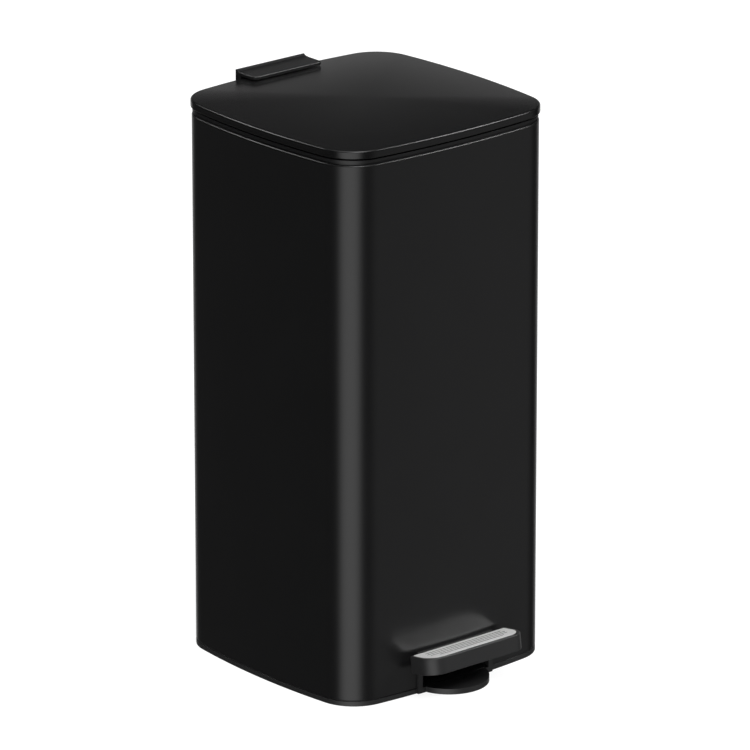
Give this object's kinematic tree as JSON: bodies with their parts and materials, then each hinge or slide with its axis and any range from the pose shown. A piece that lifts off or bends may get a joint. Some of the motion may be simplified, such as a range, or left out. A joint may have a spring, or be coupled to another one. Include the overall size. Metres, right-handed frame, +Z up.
{
  "type": "pedal trash can",
  "caption": "Rounded-square black steel pedal bin with a flat hinged lid, a lift-out bucket with bail, and a foot pedal that lifts the lid through a lever and rod.",
  "frame": {"origin": "on the floor, under the middle of the steel body", "axes": "+Z up, -Y is the front with the pedal, +Y the back with the lid's hinge, X across"},
  "size_m": [0.3026, 0.3494, 0.6236],
  "materials": {
    "body_paint": "satin black powder coat on sheet steel",
    "black_plastic": "fine matte black moulded plastic",
    "grey_plastic": "dark grey moulded plastic",
    "bucket_plastic": "grey polypropylene",
    "bright_steel": "drawn bright steel",
    "insert_steel": "brushed stainless steel with pressed grooves",
    "zinc_steel": "zinc-plated pressed steel",
    "rubber": "matte rubber"
  },
  "bodies": {
    "can": {"outer_shell": "body_paint", "rim_collar": "black_plastic", "base_tray": "black_plastic", "pedal_bezel": "black_plastic", "anti_slip_pads": "rubber", "base_screws": "zinc_steel", "pivot_bracket": "zinc_steel", "bracket_screws": "zinc_steel", "pivot_pin": "bright_steel", "rod_guides": "grey_plastic", "rod_cover": "grey_plastic", "damper_cylinder": "bright_steel", "damper_cap": "grey_plastic", "damper_bracket": "zinc_steel", "hinge_pin": "bright_steel", "hinge_clips": "zinc_steel"},
    "lid": {"lid_skin": "body_paint", "lid_liner": "grey_plastic", "lid_bumpers": "rubber", "hinge_arm": "zinc_steel", "hinge_cover": "black_plastic", "hinge_screws": "zinc_steel"},
    "pedal": {"pedal_lever": "zinc_steel", "lever_bushes": "grey_plastic", "pedal_cover": "black_plastic", "pedal_insert": "insert_steel", "pedal_screws": "zinc_steel"},
    "rod": {"push_rod": "bright_steel", "rod_clips": "zinc_steel", "rod_carrier": "grey_plastic", "damper_plunger": "bright_steel"},
    "bucket": {"inner_bucket": "bucket_plastic"},
    "bail": {"bail_handle": "grey_plastic", "bail_grip": "rubber"}
  },
  "joints": [
    {"name": "lid_hinge", "type": "hinge", "parent": "can", "child": "lid", "pos_m": [0, 0.1532, 0.6065], "axis": [-1, 0, 0], "range_deg": [0, 80]},
    {"name": "pedal_press", "type": "hinge", "parent": "can", "child": "pedal", "pos_m": [0, -0.05, 0.026], "axis": [1, 0, 0], "range_deg": [0, 8.9]},
    {"name": "rod_lift", "type": "slide", "parent": "can", "child": "rod", "axis": [0, 0, 1], "range_m": [0, 0.0288]},
    {"name": "bucket_lift", "type": "slide", "parent": "can", "child": "bucket", "axis": [0, 0, 1], "range_m": [0, 0.004]},
    {"name": "bail_swing", "type": "hinge", "parent": "bucket", "child": "bail", "pos_m": [0, -0.00885, 0.582], "axis": [-1, 0, 0], "range_deg": [0, 2.5]}
  ],
  "couplings": [
    {"joint": "pedal_press", "follows": "lid_hinge", "ratio": 0.11115},
    {"joint": "rod_lift", "follows": "lid_hinge", "m_per_rad": 0.020626}
  ]
}
